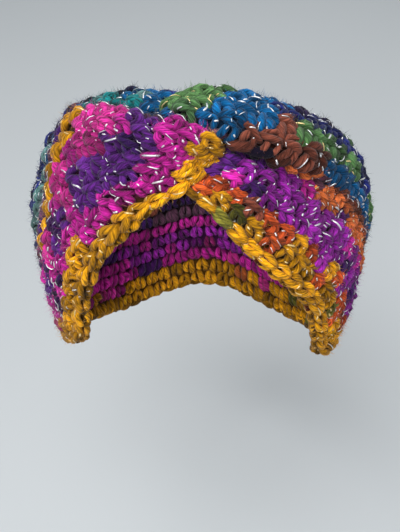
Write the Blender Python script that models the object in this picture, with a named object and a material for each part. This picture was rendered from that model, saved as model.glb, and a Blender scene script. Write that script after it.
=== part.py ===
# Crochet twist headband, in metres, front towards -Y and +Z up.
#
# The origin is the middle of the head hollow, at the height of the brow. The band is one crocheted strip. It runs
# round the head and under the back of it, and rises at the front to the top of the forehead. There its two ends
# are folded lengthwise and hooked into each other, which makes the twist, and are sewn together on the head side.
#
# Places on the band are given on the head's surface: an angle round the band's loop, counted from the front, an
# angle across the loop, and a height off the head.
import math
from collections import namedtuple

import bmesh
import bpy
import numpy as np

# The hollow that the head fills: half sizes of an egg-shaped ellipsoid, deeper below the brow than above it. It
# widens towards the back, by this share of its width for each metre.
HEAD_HALF_WIDTH = 0.0785
HEAD_HALF_LENGTH = 0.095
HEAD_ABOVE_BROW = 0.092
HEAD_BELOW_BROW = 0.160
WIDENING_TO_BACK = 1.4

# The band's loop leans back from the upright by this angle.
LOOP_TILT = math.radians(57)

# A point is brought onto the head's surface in this many steps. Slopes are taken over this length.
SURFACE_STEPS = 12
SLOPE_STEP = 1e-5

# The fabric. Its rims are rounded, and stand out from its edges by this share of its thickness.
FABRIC_THICKNESS = 0.007
RIM_SHARE = 0.45
ROWS_OF_CROCHET = 13
MILLIMETRE = 0.001

# The mesh: sections between two stations of the tables, and points across the strip.
SECTIONS_AT_BACK = 4
SECTIONS_AT_FRONT = 7
POINTS_ACROSS = 17

# The folds are joined into one skin of this grain, of which this share of the triangles is kept.
SKIN_GRAIN = 0.0022
KEPT_SHARE = 0.125

# The lump of gathered fabric inside the twist: its middle as loop angle, cross angle and height, and half sizes.
LUMP_ANGLE = 1.0
LUMP_ACROSS = 7.5
LUMP_HEIGHT = 7.5 * MILLIMETRE
LUMP_HALF_SIZE = (0.014, 0.019, 0.0075)
LUMP_SEGMENTS = 20
LUMP_RINGS = 12

# The sewn seam on the head side of the twist.
SEAM_YARN_RADIUS = 0.0015
SEAM_CLEARANCE = 0.0004
SEAM_YARN_ROUNDNESS = 2
SEAM_STITCHES = 5
SEAM_POINTS_PER_STITCH = 8
SEAM_ANGLE = 1.0
SEAM_SWAY = 2.0
SEAM_ACROSS = (-5.0, 15.0)

# Linear colours.
WOOL_COLOUR = (0.42, 0.05, 0.35)
SEWING_YARN_COLOUR = (0.58, 0.30, 0.02)
WOOL_ROUGHNESS = 0.9

# A station is one cross-section of the strip. Angles are in degrees and heights, to the middle of the fabric, in
# millimetres. From the lower edge the fabric passes a belly, a crest, the floor of the fold, a second crest, a
# second belly and the upper edge.
Station = namedtuple(
    "Station",
    "low_angle low_across low_height belly1 crest1_angle crest1_across crest1_height floor_across floor_height "
    "crest2_angle crest2_across crest2_height belly2 high_angle high_across high_height",
)

# From the back of the head to the ear, the same on both sides.
BACK_STATIONS = (
    Station(180, 2, 4, 4, 180, 28, 4, 30, 4, 180, 32, 4, 4, 180, 51, 4),
    Station(151, -11, 4, 4, 151, 18, 4, 20, 4, 151, 22, 4, 4, 150, 43, 4),
    Station(122, -30, 4, 4, 123, 3, 4, 5, 4, 124, 7, 4, 4, 126, 30, 4),
    Station(94, -44.5, 4, 5, 102, -8, 5, -6, 5, 103, -4, 5, 5, 109, 22, 4),
)
# From the ear to the tip that tucks into the right side's fold.
LEFT_STATIONS = (
    Station(62, -48.5, 4, 5, 81, -18, 6, -15.5, 6, 84, -13, 6, 7, 95, 8, 6),
    Station(43, -37, 4, 6, 62, -9, 7, -7, 6, 65, -5, 7, 8, 79, 5, 8),
    Station(29, -26, 4, 8, 51, 3, 8, 5, 6, 54, 7, 7, 9, 70, 15, 9),
    Station(18, -18.5, 4, 12, 38.5, 16, 12, 19, 6, 42, 21, 8, 8, 56, 28, 8),
    Station(9.5, -12.5, 5, 15, 20, 11.5, 16, 14.5, 5, 23, 17.5, 8, 7, 28, 25.5, 4),
    Station(3, -8.5, 6, 15, 9, 6, 17, 10, 4, 11, 14.5, 8, 7, 13, 22.5, 4),
    Station(-2.5, -3.5, 9, 14, 0, 4, 16, 8, 4, 3, 13.5, 6, 6, 4, 20, 4),
    Station(-6.5, 1.5, 8, 10, -5, 4, 10, 6, 4, 0, 13, 4, 4, 1, 17.5, 4),
)
# From the ear to the tip that tucks into the left side's fold.
RIGHT_STATIONS = (
    Station(68, -41.5, 4, 5, 92, -13, 5, -11, 5, 93, -9, 5, 5, 98, 18, 4),
    Station(47, -34, 4, 6, 72, -8, 6, -5, 6, 75, -3, 7, 7, 87, 20, 4),
    Station(30, -28.5, 4, 7, 48, -4, 8, -1, 8, 51, 1, 9, 9, 73, 25, 4),
    Station(18, -23, 4, 8, 29, -1, 8, 3, 7, 32, 2, 12, 13, 51, 25, 4),
    Station(9.5, -16.5, 4, 8, 17, 2, 8, 7, 4, 18, 2, 16, 17, 27, 21.5, 5),
    Station(4, -11.5, 4, 8, 9, 3, 8, 8, 4, 8, 4, 17, 18, 9, 19.5, 8),
    Station(0, -8.5, 4, 6, 3, 2, 6, 7, 4, 0, 7, 16, 17, -3, 16, 12),
    Station(-2, -6, 4, 4, 0, 0, 4, 6, 4, -6, 8.5, 11, 11, -7, 13, 9),
)
# The crochet rows, counted from the lower edge, at which the seven places of a station lie: the lower edge, the
# first belly, the first crest, the floor, the second crest, the second belly and the upper edge.
LEFT_ROWS = (0, 2.8, 7.2, 8.1, 9.0, 11.0, ROWS_OF_CROCHET)
BACK_ROWS = (0, 2.5, 6.8, 7.2, 7.7, 10.5, ROWS_OF_CROCHET)
RIGHT_ROWS = (0, 2.4, 6.0, 6.9, 7.8, 10.4, ROWS_OF_CROCHET)
# The bellies lie this share of the way from the edge or crest below them to the next crest or edge.
BELLY1_SHARE = 0.35
BELLY2_SHARE = 0.55


def clear_scene():
    for item in list(bpy.data.objects):
        bpy.data.objects.remove(item, do_unlink=True)


def wool(name, colour):
    made = bpy.data.materials.new(name)
    made.use_nodes = True
    shader = made.node_tree.nodes["Principled BSDF"]
    shader.inputs["Base Color"].default_value = (*colour, 1.0)
    shader.inputs["Roughness"].default_value = WOOL_ROUGHNESS
    shader.inputs["Metallic"].default_value = 0.0
    return made


def head_level(points):
    """1 on the head's surface, less inside it and more outside."""
    x = points[..., 0] / (1 + WIDENING_TO_BACK * points[..., 1])
    y = points[..., 1]
    z = points[..., 2]
    half_height = np.where(z >= 0, HEAD_ABOVE_BROW, HEAD_BELOW_BROW)
    return np.sqrt((x / HEAD_HALF_WIDTH) ** 2 + (y / HEAD_HALF_LENGTH) ** 2 + (z / half_height) ** 2)


def head_normals(points):
    slopes = [
        head_level(points + SLOPE_STEP * axis) - head_level(points - SLOPE_STEP * axis) for axis in np.eye(3)
    ]
    slopes = np.stack(slopes, axis=-1)
    return slopes / np.linalg.norm(slopes, axis=-1, keepdims=True)


def place(angle, across, height):
    """Points over the head at loop angles and cross angles in degrees and heights in metres."""
    angle = np.radians(angle)
    across = np.radians(across)
    right = np.array([1.0, 0.0, 0.0])
    front = np.array([0.0, -math.cos(LOOP_TILT), math.sin(LOOP_TILT)])
    up = np.array([0.0, math.sin(LOOP_TILT), math.cos(LOOP_TILT)])
    direction = (
        (np.sin(angle) * np.cos(across))[..., None] * right
        + (np.cos(angle) * np.cos(across))[..., None] * front
        + np.sin(across)[..., None] * up
    )
    reach = np.full(direction.shape[:-1], HEAD_HALF_LENGTH)
    for _ in range(SURFACE_STEPS):
        reach = reach / head_level(direction * reach[..., None])
    foot = direction * reach[..., None]
    return foot + head_normals(foot) * np.asarray(height)[..., None]


def smooth_curve(rows, marks, where):
    """A smooth curve through rows that lie at marks, read at the places in where."""
    rows = np.asarray(rows, dtype=float)
    marks = np.asarray(marks, dtype=float)
    gaps = np.diff(marks)
    shape = (-1,) + (1,) * (rows.ndim - 1)
    slopes = np.diff(rows, axis=0) / gaps.reshape(shape)
    before = gaps[:-1].reshape(shape)
    after = gaps[1:].reshape(shape)
    inner = (slopes[:-1] * after + slopes[1:] * before) / (before + after)
    tangents = np.concatenate([slopes[:1], inner, slopes[-1:]])
    index = np.clip(np.searchsorted(marks, where, side="right") - 1, 0, len(gaps) - 1)
    gap = gaps[index].reshape(shape)
    t = ((where - marks[index]) / gaps[index]).reshape(shape)
    return (
        (2 * t**3 - 3 * t**2 + 1) * rows[index]
        + (t**3 - 2 * t**2 + t) * gap * tangents[index]
        + (3 * t**2 - 2 * t**3) * rows[index + 1]
        + (t**3 - t**2) * gap * tangents[index + 1]
    )


def station_places(station):
    """The seven places of a station, each as loop angle, cross angle and height in metres."""
    s = station
    belly1_angle = s.low_angle + BELLY1_SHARE * (s.crest1_angle - s.low_angle)
    belly1_across = s.low_across + BELLY1_SHARE * (s.crest1_across - s.low_across)
    belly2_angle = s.crest2_angle + BELLY2_SHARE * (s.high_angle - s.crest2_angle)
    belly2_across = s.crest2_across + BELLY2_SHARE * (s.high_across - s.crest2_across)
    floor_angle = (s.crest1_angle + s.crest2_angle) / 2
    places = np.array([
        (s.low_angle, s.low_across, s.low_height),
        (belly1_angle, belly1_across, s.belly1),
        (s.crest1_angle, s.crest1_across, s.crest1_height),
        (floor_angle, s.floor_across, s.floor_height),
        (s.crest2_angle, s.crest2_across, s.crest2_height),
        (belly2_angle, belly2_across, s.belly2),
        (s.high_angle, s.high_across, s.high_height),
    ], dtype=float)
    places[:, 2] *= MILLIMETRE
    return places


def strip_surface():
    """Middle surface of the strip, from the left tip round the back to the right tip: sections x points x 3."""
    left = [on_left(station_places(station)) for station in LEFT_STATIONS[::-1] + BACK_STATIONS[:0:-1]]
    right = [station_places(station) for station in BACK_STATIONS + RIGHT_STATIONS]
    places = np.array(left + right)
    rows = np.array([LEFT_ROWS] * len(LEFT_STATIONS) + [BACK_ROWS] * (2 * len(BACK_STATIONS) - 1)
                    + [RIGHT_ROWS] * len(RIGHT_STATIONS), dtype=float)
    marks = np.arange(len(places))
    where = section_marks(len(LEFT_STATIONS), len(places) - len(RIGHT_STATIONS), len(places))
    guides = smooth_curve(places, marks, where)
    guide_rows = smooth_curve(rows, marks, where)
    across = np.linspace(0, ROWS_OF_CROCHET, POINTS_ACROSS)
    sections = []
    for guide, row in zip(guides, guide_rows):
        points = place(guide[:, 0], guide[:, 1], guide[:, 2])
        sections.append(smooth_curve(points, row, across))
    return np.array(sections)


def on_left(places):
    """The same places on the left side of the head, with their loop angle counted on past the back."""
    return np.column_stack([360 - places[:, 0], places[:, 1:]])


def section_marks(first_at_back, first_at_right, count):
    """Where the sections lie, in stations: more of them at the twist than at the back."""
    left = np.arange(0, first_at_back, 1 / SECTIONS_AT_FRONT)
    back = np.arange(first_at_back, first_at_right, 1 / SECTIONS_AT_BACK)
    right = np.linspace(first_at_right, count - 1, (count - 1 - first_at_right) * SECTIONS_AT_FRONT + 1)
    return np.concatenate([left, back, right])


def surface_normals(surface):
    """Unit normals of the strip's middle surface, on the side away from the head."""
    along = np.gradient(surface, axis=0)
    across = np.gradient(surface, axis=1)
    normals = np.cross(across, along)
    return normals / np.linalg.norm(normals, axis=-1, keepdims=True)


def thick_strip_mesh(name, surface, thickness):
    """A closed mesh of the strip: rings round each section, with rounded edges and closed ends."""
    normals = surface_normals(surface)
    outer = surface + normals * thickness / 2
    inner = surface - normals * thickness / 2
    low_rim = surface[:, 0] + RIM_SHARE * thickness * rim_direction(surface[:, 0], surface[:, 1])
    high_rim = surface[:, -1] + RIM_SHARE * thickness * rim_direction(surface[:, -1], surface[:, -2])
    rings = np.concatenate([outer, high_rim[:, None], inner[:, ::-1], low_rim[:, None]], axis=1)
    build = bmesh.new()
    verts = [[build.verts.new(point) for point in ring] for ring in rings]
    size = len(verts[0])
    for ring, following in zip(verts[:-1], verts[1:]):
        for i in range(size):
            k = (i + 1) % size
            build.faces.new((ring[i], ring[k], following[k], following[i]))
    for ring in (verts[0], verts[-1]):
        close_end(build, ring)
    bmesh.ops.triangulate(build, faces=build.faces[:])
    bmesh.ops.recalc_face_normals(build, faces=build.faces[:])
    mesh = bpy.data.meshes.new(name)
    build.to_mesh(mesh)
    build.free()
    return mesh


def rim_direction(edge, inside):
    """Unit directions from the points inside the fabric out over its edge."""
    direction = edge - inside
    return direction / np.linalg.norm(direction, axis=-1, keepdims=True)


def close_end(build, ring):
    """Close the ring at a tip with faces that join its outer and its inner side."""
    across = POINTS_ACROSS
    outer = ring[:across]
    inner = ring[across + 1:2 * across + 1][::-1]
    for j in range(across - 1):
        build.faces.new((outer[j], outer[j + 1], inner[j + 1], inner[j]))
    build.faces.new((outer[-1], ring[across], inner[-1]))
    build.faces.new((inner[0], ring[-1], outer[0]))


def gathered_lump():
    """The folds' gathered fabric inside the twist, as a guide that the band is joined with."""
    bpy.ops.mesh.primitive_uv_sphere_add(segments=LUMP_SEGMENTS, ring_count=LUMP_RINGS, radius=1)
    lump = bpy.context.object
    lump.name = "lump_guide"
    for vertex in lump.data.vertices:
        vertex.co = [vertex.co[i] * LUMP_HALF_SIZE[i] for i in range(3)]
    lump.location = place(np.array(LUMP_ANGLE), np.array(LUMP_ACROSS), np.array(LUMP_HEIGHT))
    lump.rotation_euler = (math.pi / 2 - LOOP_TILT - math.radians(LUMP_ACROSS), 0, 0)
    lump.hide_render = True
    lump.display_type = "WIRE"
    return lump


def band():
    mesh = thick_strip_mesh("band", strip_surface(), FABRIC_THICKNESS)
    item = bpy.data.objects.new("band", mesh)
    bpy.context.collection.objects.link(item)
    mesh.materials.append(wool("crochet_wool", WOOL_COLOUR))
    union = item.modifiers.new("join_lump", "BOOLEAN")
    union.operation = "UNION"
    union.solver = "EXACT"
    union.use_self = True
    union.object = gathered_lump()
    skin = item.modifiers.new("join_folds", "REMESH")
    skin.mode = "VOXEL"
    skin.voxel_size = SKIN_GRAIN
    skin.adaptivity = 0.0
    fewer = item.modifiers.new("fewer_triangles", "DECIMATE")
    fewer.decimate_type = "COLLAPSE"
    fewer.ratio = KEPT_SHARE
    item.data = joined_mesh(item)
    item.modifiers.clear()
    return item


def joined_mesh(item):
    """The item's mesh with its modifiers applied: its largest body, in triangles."""
    bpy.context.view_layer.update()
    shape = item.evaluated_get(bpy.context.evaluated_depsgraph_get())
    build = bmesh.new()
    build.from_mesh(shape.to_mesh())
    shape.to_mesh_clear()
    bmesh.ops.triangulate(build, faces=build.faces[:])
    bodies = connected_bodies(build)
    largest = max(bodies, key=len)
    spare = [face for body in bodies if body is not largest for face in body]
    bmesh.ops.delete(build, geom=spare, context="FACES")
    bmesh.ops.recalc_face_normals(build, faces=build.faces[:])
    mesh = bpy.data.meshes.new(item.name)
    build.to_mesh(mesh)
    build.free()
    mesh.materials.append(item.data.materials[0])
    mesh.shade_smooth()
    return mesh


def connected_bodies(build):
    """Lists of faces that hang together through their edges."""
    waiting = set(build.faces)
    bodies = []
    while waiting:
        front = [waiting.pop()]
        body = []
        while front:
            face = front.pop()
            body.append(face)
            for edge in face.edges:
                for other in edge.link_faces:
                    if other in waiting:
                        waiting.remove(other)
                        front.append(other)
        bodies.append(body)
    return bodies


def seam_yarn():
    """The whip-stitched yarn that joins the ends, on the head side of the twist, as one plain run."""
    shares = np.linspace(0, 1, SEAM_STITCHES * SEAM_POINTS_PER_STITCH + 1)
    across = SEAM_ACROSS[0] + shares * (SEAM_ACROSS[1] - SEAM_ACROSS[0])
    angle = SEAM_ANGLE + SEAM_SWAY * np.sin(2 * math.pi * SEAM_STITCHES * shares)
    height = np.full_like(shares, -SEAM_CLEARANCE - SEAM_YARN_RADIUS)
    curve = bpy.data.curves.new("seam_yarn", "CURVE")
    curve.dimensions = "3D"
    curve.bevel_depth = SEAM_YARN_RADIUS
    curve.bevel_resolution = SEAM_YARN_ROUNDNESS
    curve.use_fill_caps = True
    spline = curve.splines.new("POLY")
    spline.points.add(len(shares) - 1)
    for point, place_of_point in zip(spline.points, place(angle, across, height)):
        point.co = (*place_of_point, 1.0)
    curve.materials.append(wool("sewing_yarn", SEWING_YARN_COLOUR))
    item = bpy.data.objects.new("seam_yarn", curve)
    bpy.context.collection.objects.link(item)
    return item


clear_scene()
band()
seam_yarn()
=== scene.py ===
# %% [markdown]
# # A crochet twist headband
#
# The headband is one long strip of thick crochet. It goes round the head, and at the front its two ends
# are folded lengthwise and hooked into each other, which makes the twist. The packed solids already have
# that form. This script keeps it and works the yarn over it: the puffy stitches, the braided edges, the
# metallic film that is spun in with the wool, and the fuzz.
#
# Everything is in metres, in the frame of the packed model: front towards -Y and +Z up.

# %% Load the packed model
import math
from collections import namedtuple

import bpy
import numpy as np
from mathutils import Matrix


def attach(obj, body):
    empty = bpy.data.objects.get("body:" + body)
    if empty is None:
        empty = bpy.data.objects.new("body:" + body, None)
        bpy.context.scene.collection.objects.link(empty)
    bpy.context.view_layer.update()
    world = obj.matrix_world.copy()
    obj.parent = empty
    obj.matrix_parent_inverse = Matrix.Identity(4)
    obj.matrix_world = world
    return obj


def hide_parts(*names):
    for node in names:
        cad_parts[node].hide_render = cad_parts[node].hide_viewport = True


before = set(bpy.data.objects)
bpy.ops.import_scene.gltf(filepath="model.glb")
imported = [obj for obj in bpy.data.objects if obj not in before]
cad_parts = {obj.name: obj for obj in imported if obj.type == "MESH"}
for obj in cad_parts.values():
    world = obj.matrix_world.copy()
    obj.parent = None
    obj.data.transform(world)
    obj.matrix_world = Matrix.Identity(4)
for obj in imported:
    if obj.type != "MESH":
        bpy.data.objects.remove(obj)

MM = 0.001
SEED = 1127
dice = np.random.default_rng(SEED)
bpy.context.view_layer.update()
print("packed nodes:", ", ".join(sorted(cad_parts)))

# %% [markdown]
# ## The camera
#
# The band is seen from above the brow, nearly from the front. A camera could be placed by eye, or turned
# to a target by a constraint. Here one distance and two angles give its place and its turn, because three
# numbers are easy to change one at a time. The shift slides the picture without turning the camera, so
# upright things stay upright.

# %% Camera
PICTURE = (400, 532)
CAMERA_DISTANCE = 0.448
CAMERA_ELEVATION = math.radians(39)
CAMERA_YAW = math.radians(4)
FOCAL_PIXELS = 820
PICTURE_CENTRE = (201, 232)
SENSOR_WIDTH = 36


def aim(name, distance, elevation, yaw):
    """The place and turn of a camera or lamp that looks at the origin from this far away."""
    position = distance * np.array([
        math.sin(yaw) * math.cos(elevation),
        -math.cos(yaw) * math.cos(elevation),
        math.sin(elevation),
    ])
    forward = -position / distance
    right = np.array([math.cos(yaw), math.sin(yaw), 0.0])
    upward = np.cross(right, forward)
    turn = np.eye(4)
    turn[:3, 0] = right
    turn[:3, 1] = upward
    turn[:3, 2] = -forward
    turn[:3, 3] = position
    print(name, "at", np.round(position, 3).tolist())
    return Matrix(turn)


camera_data = bpy.data.cameras.new("camera")
camera_data.sensor_fit = "HORIZONTAL"
camera_data.sensor_width = SENSOR_WIDTH
camera_data.lens = FOCAL_PIXELS * SENSOR_WIDTH / PICTURE[0]
camera_data.shift_x = (PICTURE[0] / 2 - PICTURE_CENTRE[0]) / PICTURE[0]
camera_data.shift_y = (PICTURE_CENTRE[1] - PICTURE[1] / 2) / PICTURE[0]
camera = bpy.data.objects.new("camera", camera_data)
bpy.context.collection.objects.link(camera)
camera.matrix_world = aim("camera", CAMERA_DISTANCE, CAMERA_ELEVATION, CAMERA_YAW)
bpy.context.scene.camera = camera

# %% [markdown]
# ## The hollow that the band goes round
#
# The real fabric is stretchy and gets its form when it is worn. It could be modelled as a free surface and
# pulled about point by point. Laying it on an egg-shaped hollow is simpler: a place on it is a loop angle
# round the band, counted from the front, a cross angle, and a height over the hollow. The solid was made
# from these same values, so the stitches lie exactly where the solid is.

# %% The hollow
HEAD_HALF_WIDTH = 0.0785
HEAD_HALF_LENGTH = 0.095
HEAD_ABOVE_BROW = 0.092
HEAD_BELOW_BROW = 0.160
WIDENING_TO_BACK = 1.4
LOOP_TILT = math.radians(57)
SURFACE_STEPS = 12
SLOPE_STEP = 1e-5
SHORTEST_VECTOR = 1e-12


def head_level(points):
    """1 on the hollow's surface, less inside it and more outside."""
    x = points[..., 0] / (1 + WIDENING_TO_BACK * points[..., 1])
    y = points[..., 1]
    z = points[..., 2]
    half_height = np.where(z >= 0, HEAD_ABOVE_BROW, HEAD_BELOW_BROW)
    return np.sqrt((x / HEAD_HALF_WIDTH) ** 2 + (y / HEAD_HALF_LENGTH) ** 2 + (z / half_height) ** 2)


def unit(vectors):
    """The same directions with a length of 1."""
    return vectors / np.maximum(np.linalg.norm(vectors, axis=-1, keepdims=True), SHORTEST_VECTOR)


def head_normals(points):
    """Outward directions of the hollow's surface, from the slope of its level on each axis."""
    slopes = [
        head_level(points + SLOPE_STEP * axis) - head_level(points - SLOPE_STEP * axis) for axis in np.eye(3)
    ]
    return unit(np.stack(slopes, axis=-1))


def place(angle, across, height):
    """Points over the hollow at loop angles and cross angles in degrees and heights in metres."""
    angle = np.radians(angle)
    across = np.radians(across)
    right = np.array([1.0, 0.0, 0.0])
    front = np.array([0.0, -math.cos(LOOP_TILT), math.sin(LOOP_TILT)])
    upward = np.array([0.0, math.sin(LOOP_TILT), math.cos(LOOP_TILT)])
    direction = (
        (np.sin(angle) * np.cos(across))[..., None] * right
        + (np.cos(angle) * np.cos(across))[..., None] * front
        + np.sin(across)[..., None] * upward
    )
    reach = np.full(direction.shape[:-1], HEAD_HALF_LENGTH)
    for _ in range(SURFACE_STEPS):
        reach = reach / head_level(direction * reach[..., None])
    foot = direction * reach[..., None]
    return foot + head_normals(foot) * np.asarray(height)[..., None]


straight_ahead = place(np.array(0.0), np.array(-math.degrees(LOOP_TILT)), np.array(0.0))
print("brow point in mm:", np.round(straight_ahead / MM, 1).tolist())

# %% [markdown]
# ## The stations
#
# From the lower edge, each cross-section of the strip passes a belly, a crest, the floor of the fold, a
# second crest, a second belly and the upper edge. Near the twist the two crests rise and close over the
# floor, so that the strip is a fold. At the back they lie flat, and the strip is a plain band. Each
# cross-section could be drawn as a curve of its own. A table of 20 stations with smooth curves between
# them takes far fewer numbers, and one place can be moved without touching the rest. The four stations at
# the back serve both sides.

# %% The table of stations
Station = namedtuple(
    "Station",
    "low_angle low_across low_height belly1 "
    "crest1_angle crest1_across crest1_height floor_across floor_height "
    "crest2_angle crest2_across crest2_height belly2 "
    "high_angle high_across high_height",
)
BACK_STATIONS = (
    Station(180, 2, 4, 4, 180, 28, 4, 30, 4, 180, 32, 4, 4, 180, 51, 4),
    Station(151, -11, 4, 4, 151, 18, 4, 20, 4, 151, 22, 4, 4, 150, 43, 4),
    Station(122, -30, 4, 4, 123, 3, 4, 5, 4, 124, 7, 4, 4, 126, 30, 4),
    Station(94, -44.5, 4, 5, 102, -8, 5, -6, 5, 103, -4, 5, 5, 109, 22, 4),
)
LEFT_STATIONS = (
    Station(62, -48.5, 4, 5, 81, -18, 6, -15.5, 6, 84, -13, 6, 7, 95, 8, 6),
    Station(43, -37, 4, 6, 62, -9, 7, -7, 6, 65, -5, 7, 8, 79, 5, 8),
    Station(29, -26, 4, 8, 51, 3, 8, 5, 6, 54, 7, 7, 9, 70, 15, 9),
    Station(18, -18.5, 4, 12, 38.5, 16, 12, 19, 6, 42, 21, 8, 8, 56, 28, 8),
    Station(9.5, -12.5, 5, 15, 20, 11.5, 16, 14.5, 5, 23, 17.5, 8, 7, 28, 25.5, 4),
    Station(3, -8.5, 6, 15, 9, 6, 17, 10, 4, 11, 14.5, 8, 7, 13, 22.5, 4),
    Station(-2.5, -3.5, 9, 14, 0, 4, 16, 8, 4, 3, 13.5, 6, 6, 4, 20, 4),
    Station(-6.5, 1.5, 8, 10, -5, 4, 10, 6, 4, 0, 13, 4, 4, 1, 17.5, 4),
)
RIGHT_STATIONS = (
    Station(68, -41.5, 4, 5, 92, -13, 5, -11, 5, 93, -9, 5, 5, 98, 18, 4),
    Station(47, -34, 4, 6, 72, -8, 6, -5, 6, 75, -3, 7, 7, 87, 20, 4),
    Station(30, -28.5, 4, 7, 48, -4, 8, -1, 8, 51, 1, 9, 9, 73, 25, 4),
    Station(18, -23, 4, 8, 29, -1, 8, 3, 7, 32, 2, 12, 13, 51, 25, 4),
    Station(9.5, -16.5, 4, 8, 17, 2, 8, 7, 4, 18, 2, 16, 17, 27, 21.5, 5),
    Station(4, -11.5, 4, 8, 9, 3, 8, 8, 4, 8, 4, 17, 18, 9, 19.5, 8),
    Station(0, -8.5, 4, 6, 3, 2, 6, 7, 4, 0, 7, 16, 17, -3, 16, 12),
    Station(-2, -6, 4, 4, 0, 0, 4, 6, 4, -6, 8.5, 11, 11, -7, 13, 9),
)

# How many rows of crochet lie below each of the seven places of a cross-section.
ROWS_OF_CROCHET = 13
LEFT_ROWS = (0, 2.8, 7.2, 8.1, 9.0, 11.0, ROWS_OF_CROCHET)
BACK_ROWS = (0, 2.5, 6.8, 7.2, 7.7, 10.5, ROWS_OF_CROCHET)
RIGHT_ROWS = (0, 2.4, 6.0, 6.9, 7.8, 10.4, ROWS_OF_CROCHET)
print("stations:", len(LEFT_STATIONS) + len(BACK_STATIONS) + len(RIGHT_STATIONS))

# %% Places and curves through the stations
BELLY1_SHARE = 0.35
BELLY2_SHARE = 0.55


def smooth_curve(rows, marks, where):
    """A smooth curve through rows that lie at marks, read at the places in where."""
    rows = np.asarray(rows, dtype=float)
    marks = np.asarray(marks, dtype=float)
    gaps = np.diff(marks)
    shape = (-1,) + (1,) * (rows.ndim - 1)
    slopes = np.diff(rows, axis=0) / gaps.reshape(shape)
    before = gaps[:-1].reshape(shape)
    after = gaps[1:].reshape(shape)
    inner = (slopes[:-1] * after + slopes[1:] * before) / (before + after)
    tangents = np.concatenate([slopes[:1], inner, slopes[-1:]])
    index = np.clip(np.searchsorted(marks, where, side="right") - 1, 0, len(gaps) - 1)
    gap = gaps[index].reshape(shape)
    t = ((where - marks[index]) / gaps[index]).reshape(shape)
    return (
        (2 * t**3 - 3 * t**2 + 1) * rows[index]
        + (t**3 - 2 * t**2 + t) * gap * tangents[index]
        + (3 * t**2 - 2 * t**3) * rows[index + 1]
        + (t**3 - t**2) * gap * tangents[index + 1]
    )


def station_places(station):
    """The seven places of a station, each as loop angle, cross angle and height in metres."""
    s = station
    belly1_angle = s.low_angle + BELLY1_SHARE * (s.crest1_angle - s.low_angle)
    belly1_across = s.low_across + BELLY1_SHARE * (s.crest1_across - s.low_across)
    belly2_angle = s.crest2_angle + BELLY2_SHARE * (s.high_angle - s.crest2_angle)
    belly2_across = s.crest2_across + BELLY2_SHARE * (s.high_across - s.crest2_across)
    places = np.array([
        (s.low_angle, s.low_across, s.low_height),
        (belly1_angle, belly1_across, s.belly1),
        (s.crest1_angle, s.crest1_across, s.crest1_height),
        ((s.crest1_angle + s.crest2_angle) / 2, s.floor_across, s.floor_height),
        (s.crest2_angle, s.crest2_across, s.crest2_height),
        (belly2_angle, belly2_across, s.belly2),
        (s.high_angle, s.high_across, s.high_height),
    ], dtype=float)
    places[:, 2] *= MM
    return places


def on_left(places):
    """The same places on the left side of the band, with their loop angle counted on past the back."""
    return np.column_stack([360 - places[:, 0], places[:, 1:]])


left = [on_left(station_places(station)) for station in LEFT_STATIONS[::-1] + BACK_STATIONS[:0:-1]]
right = [station_places(station) for station in BACK_STATIONS + RIGHT_STATIONS]
guides = np.array(left + right)
guide_rows = np.array(
    [LEFT_ROWS] * len(LEFT_STATIONS)
    + [BACK_ROWS] * (2 * len(BACK_STATIONS) - 1)
    + [RIGHT_ROWS] * len(RIGHT_STATIONS),
    dtype=float,
)
print("cross-sections round the strip:", len(guides))

# %% [markdown]
# ## A fine grid over the strip
#
# The stitches need the fabric's place, its outward direction and its size at any point. Rays cast at the
# solid could find them, one strand at a time. Here all three are worked out once on a fine grid and then
# read with plain linear interpolation, which numpy does for thousands of strands in one step. A row's own
# length gives its own number of stitches, so a stitch has the same size in every row.

# %% The middle of the fabric as a grid
SECTIONS_PER_STATION = 16
POINTS_PER_ROW = 8

last_station = len(guides) - 1
station_marks = np.arange(len(guides))
section_marks = np.linspace(0, last_station, last_station * SECTIONS_PER_STATION + 1)
row_marks = np.linspace(0, ROWS_OF_CROCHET, ROWS_OF_CROCHET * POINTS_PER_ROW + 1)
section_guides = smooth_curve(guides, station_marks, section_marks)
section_rows = smooth_curve(guide_rows, station_marks, section_marks)
fabric = np.array([
    smooth_curve(place(guide[:, 0], guide[:, 1], guide[:, 2]), rows, row_marks)
    for guide, rows in zip(section_guides, section_rows)
])
along_step = np.gradient(fabric, axis=0)
across_step = np.gradient(fabric, axis=1)
outward = unit(np.cross(across_step, along_step))
row_height = np.linalg.norm(across_step, axis=-1) * POINTS_PER_ROW
walked = np.concatenate([
    np.zeros((1, len(row_marks))),
    np.cumsum(np.linalg.norm(np.diff(fabric, axis=0), axis=-1), axis=0),
])


def read_grid(grid, station, row):
    """The grid's value at stations and rows that may fall between its points."""
    u = np.asarray(station) * SECTIONS_PER_STATION
    v = np.asarray(row) * POINTS_PER_ROW
    i = np.clip(np.floor(u).astype(int), 0, grid.shape[0] - 2)
    j = np.clip(np.floor(v).astype(int), 0, grid.shape[1] - 2)
    s = (u - i).reshape(u.shape + (1,) * (grid.ndim - 2))
    t = (v - j).reshape(v.shape + (1,) * (grid.ndim - 2))
    low = grid[i, j] * (1 - s) + grid[i + 1, j] * s
    high = grid[i, j + 1] * (1 - s) + grid[i + 1, j + 1] * s
    return low * (1 - t) + high * t


# %% [markdown]
# ## The colours of the yarn
#
# The yarn is dyed in long runs, so one row keeps a colour for a while and then takes the next. A painted
# texture could show that, but the edge of a colour would then cut through the stitches. A chart gives
# each strand one whole colour instead, as a short piece of real yarn has. For each row it holds the
# letters of its colours, from the left end round the back to the right end, and the stations at which one
# gives way to the next.
#
# The hex values are sRGB, as a screen shows them. Blender's shaders work in linear light, so one function
# turns them.

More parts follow.
